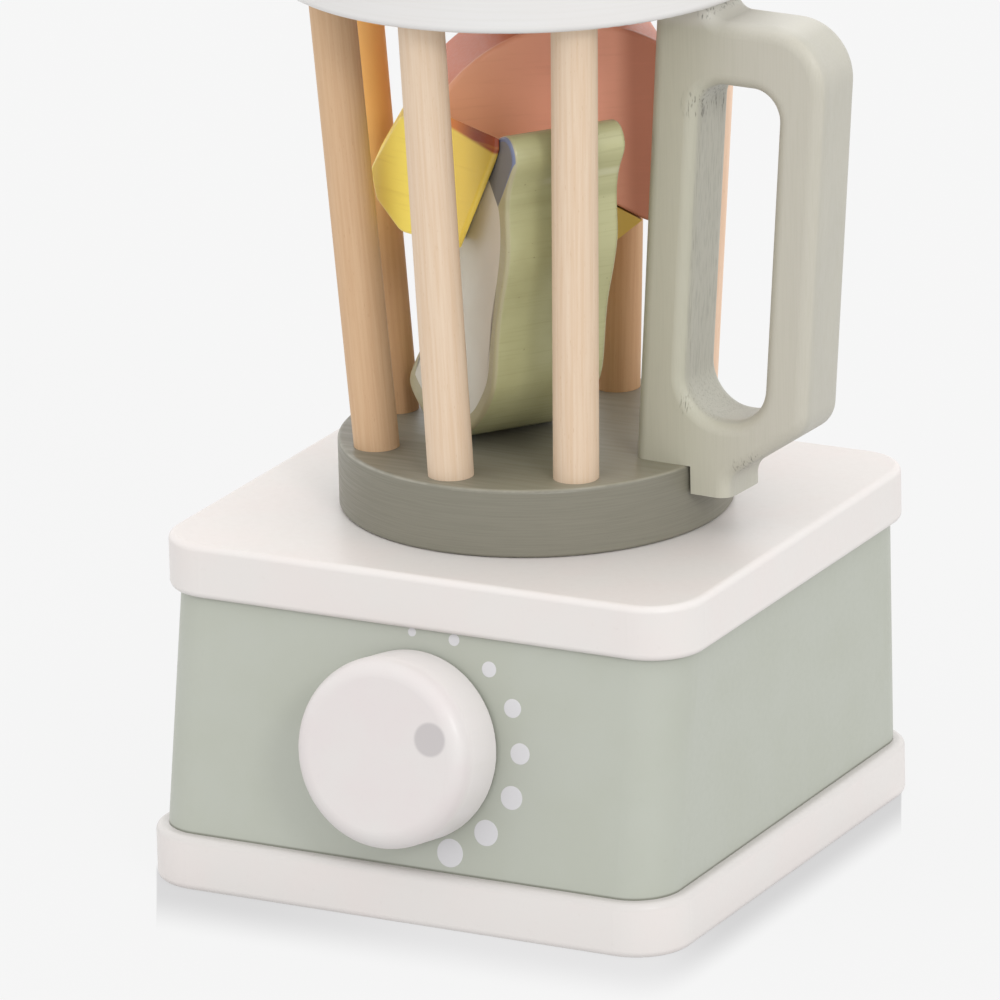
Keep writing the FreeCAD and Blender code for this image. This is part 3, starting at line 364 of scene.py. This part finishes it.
def stained_disc():
    """Dark sage stain over level board grain, with painted light on its top towards the right and a patchy
    painted highlight along the upper edge.
    """
    look = Look("disc_stain", 0.5, coat=0.1, coat_roughness=0.3)
    radius, level = round_jug(look, DISC_ARC)
    x, _, z = look.axes()
    line = look.noise(0.2, 2, level, (60, 1, 1), 2.0, 0.6)
    board = look.noise(1.6, 2, stretch=(12, 1, 1), seed=4.0)
    on_side = look.fade(z, *DISC_SIDE)
    on_top = look.less(1.0, on_side)
    height = look.math("ADD", look.times(line, on_side), look.times(board, on_top))
    tone = look.mix(look.ramp(height, 0.3, 0.72), DISC["plain"], DISC["streak"])
    tone = look.mix(look.times(look.ramp(x, *DISC_LIT), on_top), tone, DISC["top"])
    fleck = look.ramp(look.noise(0.25, 2, level, (4, 1, 1), 7.0), 0.7, 0.78)
    tone = look.mix(look.times(fleck, 0.35), tone, DISC["fleck"])
    edge = look.times(look.ramp(radius, *DISC_RIM), look.ramp(z, *DISC_EDGE))
    rim_highlight = look.times(edge, look.ramp(look.noise(5.0, 3, seed=8.0), 0.35, 0.6, 0.05, 0.4))
    tone = look.mix(rim_highlight, tone, DISC["rim_highlight"])
    return look.finish(tone, look.bump(height, 0.01), look.ramp(height, 0.3, 0.7, 0.42, 0.54))


def handle_paint():
    """Grey-green paint over upright grain, with torn specks where the cutter crossed end grain, and painted
    light on its top.
    """
    look = Look("handle_green", 0.5, coat=0.12, coat_roughness=0.3)
    outward = Vector((math.sin(HANDLE_TURN), -math.cos(HANDLE_TURN), 0))
    out, z = look.along(outward, (0, JUG_BACK, 0)), look.axes()[2]
    side = look.math("ABSOLUTE", look.along(outward.cross(Vector((0, 0, 1))), (0, JUG_BACK, 0)))
    streak = look.noise(0.3, 2, stretch=(1, 1, 40), seed=1.0)
    broad = look.noise(6, 2, stretch=(1, 1, 4), seed=3.0)
    tone = look.mix(look.ramp(out, *HANDLE_REACH), HANDLE["near"], HANDLE["far"])
    tone = look.mix(look.fade(side, *HANDLE_NARROW, 0.6), tone, HANDLE["narrow"])
    tone = look.mix(look.ramp(streak, 0.35, 0.75, 0.0, 0.25), tone, HANDLE["streak"])
    tone = look.mix(look.ramp(broad, 0.35, 0.7, 0.0, 0.15), tone, HANDLE["patch"])
    tone = look.mix(look.ramp(z, *HANDLE_LIT_HEAD), tone, HANDLE["head"])
    wall = look.times(look.fade(side, *HANDLE_NARROW), look.fade(out, *SLOT_WALL))
    lines = look.times(wall, look.ramp(streak, 0.5, 0.66, 0.0, 0.35))
    tone = look.mix(lines, tone, HANDLE["wall"])
    torn = 0.0
    for away, up, size in TORN_SPOTS:
        offset = look.vector("LENGTH", look.join(look.less(out, away), look.less(z, up), 0.0))
        torn = look.math("MAXIMUM", look.fade(offset, size * 0.35, size), torn)
    scratch = look.noise(0.35, 2, stretch=(1, 2, 7), seed=6.0)
    specks = look.times(look.ramp(scratch, 0.54, 0.68), torn)
    tone = look.mix(look.times(specks, 0.7), tone, HANDLE["torn"])
    rough = look.times(torn, look.noise(0.8, 3, stretch=(1, 1, 2), seed=8.0))
    normal = look.bump(streak, 0.005, look.bump(rough, 0.07))
    return look.finish(tone, normal, look.ramp(streak, 0.3, 0.7, 0.42, 0.54))


def ring_paint():
    """Satin white with faint brush lines round the ring."""
    look = Look("ring_white", 0.42, coat=0.12, coat_roughness=0.25)
    _, place = round_jug(look, RING_ARC)
    line = look.noise(0.6, 3, place, (60, 1, 1), 2.0)
    broad = look.noise(12, 2, place, (3, 1, 1), 5.0)
    tone = look.mix(look.ramp(line, 0.3, 0.75), RING["plain"], RING["line"])
    tone = look.mix(look.ramp(broad, 0.35, 0.65, 0.0, 0.5), tone, RING["patch"])
    return look.finish(tone, look.bump(line, 0.015), look.ramp(line, 0.3, 0.7, 0.38, 0.5))


def fruit_paint(look, tone, deep, seed):
    """Satin paint over end-grain plywood cut: faint level saw lines under the coat."""
    line = look.noise(0.9, 3, stretch=(14, 14, 1), seed=seed)
    tone = look.mix(look.ramp(line, 0.5, 0.8, 0.0, 0.2), tone, deep)
    fine = look.noise(0.7, 3, seed=seed + 6)
    normal = look.bump(fine, 0.012, look.bump(line, 0.02))
    return look.finish(tone, normal, look.ramp(fine, 0.3, 0.7, 0.36, 0.48))


def wedge_paint():
    """Yellow, with painted light at the near end and painted shade at the far end of the front, and a painted
    shadow along the top under the melon, orange from a painted reflection of it.
    """
    look = Look("wedge_yellow", 0.42, coat=0.2, coat_roughness=0.25)
    along, z = look.along(WEDGE_ALONG), look.axes()[2]
    tone = look.mix(look.ramp(along, *WEDGE_NEAR), WEDGE["lit"], WEDGE["middle"])
    tone = look.mix(look.ramp(along, *WEDGE_FAR_SHADE), tone, WEDGE["far_shade"])
    tone = look.mix(look.ramp(along, *WEDGE_END_SHADE), tone, WEDGE["end"])
    height = look.less(z, look.times(along, WEDGE_BAND_SLOPE))
    band = look.mix(look.ramp(along, *WEDGE_BAND_TURN), WEDGE["band_left"], WEDGE["band_right"])
    tone = look.mix(look.ramp(height, *WEDGE_BAND), tone, band)
    return fruit_paint(look, tone, WEDGE["line"], 2.0)


def melon_paint():
    """Coral, with painted light towards the near end of the cut face, a painted shadow where the far end
    turns away, and painted shade on the curved outer face.
    """
    look = Look("melon_coral", 0.5, coat=0.05, coat_roughness=0.3, specular=0.3)
    along, ahead = look.along(MELON_ALONG), look.along(MELON_AHEAD)
    tone = look.mix(look.ramp(along, *MELON_NEAR), MELON["lit"], MELON["middle"])
    tone = look.mix(look.ramp(along, *MELON_FAR_SHADOW), tone, MELON["deep"])
    tone = look.mix(look.fade(ahead, *MELON_RIND_SHADE), tone, MELON["rind_shade"])
    return fruit_paint(look, tone, MELON["line"], 4.0)


def tip_paint():
    look = Look("tip_yellow", 0.42, coat=0.2, coat_roughness=0.25)
    return fruit_paint(look, TIP["plain"], TIP["line"], 3.0)


def calyx_mask(look, along, up):
    """1 above the two lower edges of the dark calyx, 0 below them."""
    aside = look.less(along, CALYX_TIP[0])
    edges = [look.times(aside, slope) for slope in CALYX_SLOPES]
    rise = look.less(look.less(up, CALYX_TIP[1]), look.math("MAXIMUM", *edges))
    return look.ramp(rise, -CALYX_BLUR, CALYX_BLUR)


def pear_paint():
    """Green satin paint with level saw lines; a duller band round the printed face, the calyx's edge, a
    painted highlight along the lip and painted shade under it.
    """
    look = Look("pear_green", 0.4, coat=0.3, coat_roughness=0.2)
    across, along = look.along(FOOD_ACROSS, FOOD_PLACE), look.along(FOOD_ALONG, FOOD_PLACE)
    up = look.along((0, 0, 1), FOOD_PLACE)
    line = look.noise(0.5, 3, look.join(across, along, up), (30, 6, 1), 1.0)
    broad = look.noise(9, 3, seed=3.0)
    tone = look.mix(look.ramp(broad, 0.35, 0.68), PEAR["lit"], PEAR["deep"])
    tone = look.mix(look.ramp(across, *PEAR_BACK), tone, PEAR["far"])
    tone = look.mix(look.ramp(line, 0.5, 0.8, 0.0, 0.28), tone, PEAR["line"])
    tone = look.mix(look.fade(across, *PEAR_FACE), tone, PEAR["border"])
    on_edge = look.times(calyx_mask(look, along, up), look.fade(across, *CALYX_FACE))
    tone = look.mix(on_edge, tone, PEAR["calyx"])
    from_lip = look.math("ABSOLUTE", look.less(up, PEAR_LIP))
    lip = look.times(look.fade(from_lip, *PEAR_LIP_BAND, 0.5), look.ramp(across, *PEAR_LIP_ACROSS))
    tone = look.mix(lip, tone, PEAR["lip"])
    from_shade = look.math("ABSOLUTE", look.less(up, PEAR_UNDER))
    tone = look.mix(look.fade(from_shade, *PEAR_UNDER_BAND, 0.3), tone, PEAR["under"])
    nick = look.ramp(look.noise(0.8, 1, seed=9.0), 0.76, 0.8)
    tone = look.mix(look.times(nick, 0.5), tone, PEAR["nick"])
    normal = look.bump(look.noise(0.7, 3, seed=7.0), 0.01, look.bump(line, 0.02))
    return look.finish(tone, normal, look.ramp(line, 0.3, 0.7, 0.34, 0.46))


def print_paint():
    """Cream ink with faint patches, and the dark calyx."""
    look = Look("pear_print_cream", 0.5)
    along, up = look.along(FOOD_ALONG, FOOD_PLACE), look.along((0, 0, 1), FOOD_PLACE)
    tone = look.mix(look.ramp(along, *PRINT_TURN), PRINT["near"], PRINT["far"])
    tone = look.mix(look.ramp(look.noise(7, 3, seed=4.0), 0.35, 0.68, 0.0, 0.3), tone, PRINT["patch"])
    tone = look.mix(calyx_mask(look, along, up), tone, PRINT["calyx"])
    return look.finish(tone, look.bump(look.noise(0.4, 3, seed=2.0), 0.01))


def felt():
    look = Look("felt_disc", 0.95, sheen=0.3)
    fibre = look.noise(0.3, 4, stretch=(1, 3, 1), seed=1.0)
    return look.finish(look.mix(look.ramp(fibre, 0.35, 0.7), *FELT), look.bump(fibre, 0.12))


def steel():
    look = Look("zinc_steel", 0.35, metal=1.0)
    scratch = look.noise(0.3, 3, stretch=(1, 6, 1), seed=1.0)
    tone = look.mix(scratch, *STEEL)
    return look.finish(tone, look.bump(scratch, 0.01), look.ramp(scratch, 0.3, 0.7, 0.28, 0.45))


def dot_ink():
    """Printed ink: nearly flat, with the faint speckle of a pad print."""
    look = Look("dot_ink", 0.5)
    speck = look.noise(0.35, 3, seed=3.0)
    darker = [part * 0.93 for part in DOT_GREY[:3]] + [1]
    tone = look.mix(look.ramp(speck, 0.5, 0.8, 0.0, 0.35), DOT_GREY, darker)
    return look.finish(tone, look.bump(speck, 0.008), look.ramp(speck, 0.3, 0.7, 0.46, 0.56))


# Each rod's tone paints the light and shade it stands in.
ROD_TONES = {"rod_1": "pale", "rod_2": "pale", "rod_3": "lit_rod", "rod_4": "shaded", "rod_5": "shaded",
             "rod_6": "shaded", "rod_7": "warm_shaded"}
ROD_PAINTED_GLOW = {"rod_6": (115, 165, rgb(252, 196, 120))}        # painted orange bounce light from this height up to that one
raw_board = beech("raw_beech", (0, 1, 0), 9.0)
raw_pegs = beech("raw_peg", (0, 0, 1), 11.0)
zinc = steel()
LOOKS = {
    "base_plate": white_board("base_plate_white", 1.0, PLATE_EDGE_SHADE),
    "top_plate": white_board("top_plate_white", 2.0), "lid_plate": white_board("lid_white", 3.0),
    "lid_knob": beech("lid_knob_beech", (0, 0, 1), 13.0), "lid_plug": raw_board, "knob": knob_paint(),
    "front_panel": sage_board("front_sage", 1.0), "rear_panel": sage_board("rear_sage", 2.0),
    "left_panel": sage_board("left_sage", 3.0), "right_panel": sage_board("right_sage", 4.0),
    "jug_base": stained_disc(), "top_ring": ring_paint(), "handle": handle_paint(),
    "pear_slice": pear_paint(), "knob_washer": felt(),
    "yellow_wedge": wedge_paint(), "yellow_tip": tip_paint(), "melon_half": melon_paint(),
}
for node in ("corner_blocks", "click_wheel", "spring_block"):
    LOOKS[node] = raw_board
for node in ("top_dowels", "jug_pegs", "handle_dowels", "knob_axle"):
    LOOKS[node] = raw_pegs
for node in ("base_screws", "axle_washer", "axle_screw", "click_spring", "spring_screws", "lid_screw"):
    LOOKS[node] = zinc
for node, number in ROD_PLACES.items():
    tones, glow = BEECH[ROD_TONES[node]], ROD_PAINTED_GLOW.get(node)
    LOOKS[node] = beech(f"{node}_beech", rod_axis(node), 20.0 + 7 * number, tones, glow)
for node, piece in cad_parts.items():
    for slot in piece.material_slots:
        slot.material = LOOKS[node]


# ---------------------------------------------------------------- printed pieces

def link_object(name, data):
    item = bpy.data.objects.new(name, data)
    bpy.context.scene.collection.objects.link(item)
    return item


def new_piece(name, mesh, material, body, smooth=True):
    piece = link_object(name, mesh)
    mesh.materials.append(material)
    for face in mesh.polygons:
        face.use_smooth = smooth
    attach(piece, body)
    return piece


DOTS = [  # (across, up the panel, diameter)
    (-0.78, 49.76, 1.88), (9.14, 49.35, 2.53), (17.68, 44.23, 3.35), (23.66, 36.77, 4.0),
    (26.01, 27.46, 4.5), (24.62, 17.96, 5.05), (19.16, 9.78, 5.56), (11.03, 4.40, 6.07)]
DOT_STEPS = 48
DOT_RINGS = ((1.0, -0.2), (1.0, 0.5), (0.985, 0.85), (0.95, 1.0))   # shares of radius, of ink's thickness
INK_THICKNESS = 0.03
PRINT_SKIRT = 0.45                                 # how deep the print's edge sinks into the slice's rounding
PRINT_BORDER = 1.05                                # width of the green border round the print
LOOP_STEPS = 8                                     # points to a span of a smooth loop
PRINT_RIM = slice(11 * LOOP_STEPS + 4, 19 * LOOP_STEPS - 2)    # where it follows the slice's outline


def printed_dot(index, across, up, diameter, material):
    """A flat round of ink with a soft shoulder, just proud of the paint."""
    build = bmesh.new()
    middle = panel_point(across, up)
    rings = []
    for share, lift in DOT_RINGS:
        ring = []
        for step in range(DOT_STEPS):
            turn = math.tau * step / DOT_STEPS
            spoke = Vector((1, 0, 0)) * math.cos(turn) + PANEL_UP * math.sin(turn)
            point = middle + spoke * diameter / 2 * share
            ring.append(build.verts.new((point + PANEL_OUT * INK_THICKNESS * lift) * MM))
        rings.append(ring)
    for outer, inner in zip(rings, rings[1:]):
        for step in range(DOT_STEPS):
            after = (step + 1) % DOT_STEPS
            build.faces.new((outer[step], outer[after], inner[after], inner[step]))
    build.faces.new(rings[-1])
    mesh = bpy.data.meshes.new(f"printed_dot_{index}")
    bmesh.ops.recalc_face_normals(build, faces=build.faces)
    build.to_mesh(mesh)
    build.free()
    return new_piece(f"printed_dot_{index}", mesh, material, "base")


dot_material = dot_ink()
for index, (across, up, diameter) in enumerate(DOTS, start=1):
    printed_dot(index, across, up, diameter, dot_material)


def smooth_loop(points):
    """Points along the closed cubic spline through the given ones."""
    points = np.array(points, float)
    count = len(points)
    spans = np.linalg.norm(np.roll(points, -1, axis=0) - points, axis=1)
    matrix, right = np.zeros((count, count)), np.zeros((count, 2))
    for index in range(count):
        before, after = spans[index - 1], spans[index]
        matrix[index, index - 1] += after
        matrix[index, index] += 2 * (before + after)
        matrix[index, (index + 1) % count] += before
        right[index] = 3 * (before * (points[(index + 1) % count] - points[index]) / after
                            + after * (points[index] - points[index - 1]) / before)
    slopes = np.linalg.solve(matrix, right)
    out = []
    for index in range(count):
        start, end, span = points[index], points[(index + 1) % count], spans[index]
        for step in range(LOOP_STEPS):
            t = step / LOOP_STEPS
            out.append((2 * t**3 - 3 * t**2 + 1) * start + (t**3 - 2 * t**2 + t) * span * slopes[index]
                       + (3 * t**2 - 2 * t**3) * end + (t**3 - t**2) * span * slopes[(index + 1) % count])
    return np.array(out)


def inset(loop, distance):
    """A closed loop moved inwards by a distance."""
    ahead = np.roll(loop, -1, axis=0) - np.roll(loop, 1, axis=0)
    ahead /= np.linalg.norm(ahead, axis=1)[:, None]
    normal = np.stack([-ahead[:, 1], ahead[:, 0]], axis=1)
    area = np.sum(loop[:, 0] * np.roll(loop[:, 1], -1) - np.roll(loop[:, 0], -1) * loop[:, 1])
    return loop + normal * distance * (1 if area > 0 else -1)


def food_point(across, along, up):
    return FOOD_PLACE + FOOD_ACROSS * across + FOOD_ALONG * along + Vector((0, 0, up))


def print_loop():
    """Outline of the print: free at its foot and near side, else close to the slice's own outline."""
    rim = inset(smooth_loop(np.array(PEAR_PROFILE) * PEAR_HEIGHT), PRINT_BORDER)
    free = smooth_loop(PRINT_EDGE)[:(len(PRINT_EDGE) - 1) * LOOP_STEPS + 1]
    return np.concatenate([free, rim[PRINT_RIM]])


def pear_print():
    """The cream flesh printed on the slice's face, inside a green border, and its dark calyx."""
    build = bmesh.new()
    loop = print_loop()
    ring = [build.verts.new(food_point(-INK_THICKNESS, along, up) * MM) for along, up in loop]
    sunk = [build.verts.new(food_point(PRINT_SKIRT, along, up) * MM) for along, up in loop]
    build.faces.new(ring)
    for index in range(len(ring)):
        build.faces.new((ring[index - 1], ring[index], sunk[index], sunk[index - 1]))
    bmesh.ops.triangulate(build, faces=build.faces)
    bmesh.ops.recalc_face_normals(build, faces=build.faces)
    # an open shell can come out inside out; the print's front looks away from the slice
    if sum(face.normal.dot(FOOD_ACROSS) * face.calc_area() for face in build.faces) > 0:
        bmesh.ops.reverse_faces(build, faces=build.faces)
    mesh = bpy.data.meshes.new("pear_print")
    build.to_mesh(mesh)
    build.free()
    return new_piece("pear_print", mesh, print_paint(), "food", smooth=False)


pear_print()


# ---------------------------------------------------------------- floor, light and camera

FLOOR_HALF = 30.0                                  # half the floor's side, in metres
FLOOR_LIGHT = 0.8475                               # its own light, so that it stays plain and pale
FLOOR_TINT = 0.05                                  # dark, so that it adds little to its own light
SHADE_REACH = (3.0, 28.0)                          # mm off the base plate: the shade fades out
SHADE_UNDER = (-14.0, -8.0)                        # mm under the base plate: the shade begins
SHADE_CORNER = 30.0                                # mm over which its front and right side join
SHADE_ENDS, SHADE_SOFT = (80.4, 79.2), 0.2         # mm left and right of the middle, and its blur there
SHADE_LEAN = (0.023, 0.046)                        # how those ends move outwards with the reach
SHADE_SIDES = (-70, -15), (22, 42)                 # left tone to middle tone, and middle to right
SHADE_LIGHT = (0.635, 0.725, 0.61)                 # floor light beside the base plate: left, middle, right
SHADE_GREEN = 0.995                                # share of green in it
SHADE_SIDE = 0.85                                  # the shade on the right side is narrower by this
KEY_LIGHT = {"azimuth": 51, "elevation": 28.5, "strength": 0.64, "angle": 14}
WORLD_LIGHT = 1.44


def heading(azimuth, elevation):
    """Unit vector from the part outwards; azimuth 0 is in front of the knob, in degrees."""
    turn, rise = math.radians(azimuth), math.radians(elevation)
    return Vector((math.sin(turn) * math.cos(rise), -math.cos(turn) * math.cos(rise), math.sin(rise)))


def floor():
    """A plain pale floor with a soft contact shade in front of the base plate."""
    mesh = bpy.data.meshes.new("floor")
    corners = [(-1, -1), (1, -1), (1, 1), (-1, 1)]
    mesh.from_pydata([(x * FLOOR_HALF, y * FLOOR_HALF, 0) for x, y in corners], [], [(0, 1, 2, 3)])
    piece = link_object("floor", mesh)
    look = Look("floor_pale", 0.6, specular=0.0)
    turn = math.radians(CAMERA["azimuth"])
    x, y, _ = look.axes()
    ahead = look.math("DIVIDE", look.less(look.times(y, -1.0), BASE_HALF), math.cos(turn))
    beside = look.math("DIVIDE", look.less(x, BASE_HALF), math.sin(turn) * SHADE_SIDE)
    reach = look.math("SMOOTH_MAX", ahead, beside)
    reach.node.inputs[2].default_value = SHADE_CORNER
    aside = look.along((math.cos(turn), math.sin(turn), 0))
    fade = look.ramp(reach, *SHADE_REACH)
    for side, end, lean in zip((look.times(aside, -1.0), aside), SHADE_ENDS, SHADE_LEAN):
        past = look.math("ADD", side, look.times(reach, lean))
        fade = look.math("MAXIMUM", fade, look.ramp(past, end - SHADE_SOFT, end + SHADE_SOFT))
    fade = look.math("MAXIMUM", fade, look.fade(reach, *SHADE_UNDER))
    left, middle, right = [(light, light * SHADE_GREEN, light, 1) for light in SHADE_LIGHT]
    shade = look.mix(look.ramp(aside, *SHADE_SIDES[0]), left, middle)
    shade = look.mix(look.ramp(aside, *SHADE_SIDES[1]), shade, right)
    glow = look.mix(fade, shade, (FLOOR_LIGHT, FLOOR_LIGHT, FLOOR_LIGHT, 1))
    look.set(look.shader.inputs["Emission Color"], glow)
    look.shader.inputs["Emission Strength"].default_value = 1.0
    mesh.materials.append(look.finish((FLOOR_TINT, FLOOR_TINT, FLOOR_TINT, 1)))


def sun(name, azimuth, elevation, strength, angle):
    light = bpy.data.lights.new(name, "SUN")
    light.energy = strength
    light.angle = math.radians(angle)
    lamp = link_object(name, light)
    lamp.location = heading(azimuth, elevation)
    lamp.rotation_euler = lamp.location.to_track_quat("Z", "Y").to_euler()


def world_light(level):
    """Even studio light from all around."""
    world = bpy.data.worlds.new("studio")
    bpy.context.scene.world = world
    world.use_nodes = True
    sky = world.node_tree.nodes["Background"]
    sky.inputs["Color"].default_value = (1.0, 1.0, 1.0, 1)
    sky.inputs["Strength"].default_value = level


def camera():
    turn, roll = math.radians(CAMERA["azimuth"]), math.radians(CAMERA["roll"])
    back = heading(CAMERA["azimuth"], CAMERA["elevation"])
    right = Vector((math.cos(turn), math.sin(turn), 0))
    up = back.cross(right)
    axis_x = right * math.cos(roll) + up * math.sin(roll)
    axis_y = up * math.cos(roll) - right * math.sin(roll)
    place = right * CAMERA["aside"] + Vector((0, 0, CAMERA["height"])) + back * CAMERA["distance"]
    view = bpy.data.cameras.new("camera")
    view.sensor_width = CAMERA["sensor"]
    view.lens = CAMERA["lens"]
    view.clip_end = CAMERA["clip_end"]
    eye = link_object("camera", view)
    turned = Matrix((axis_x, axis_y, back)).transposed().to_4x4()
    eye.matrix_world = Matrix.Translation(place * MM) @ turned
    bpy.context.scene.camera = eye


floor()
world_light(WORLD_LIGHT)
sun("key", **KEY_LIGHT)
camera()
bpy.context.scene.view_settings.view_transform = "Standard"
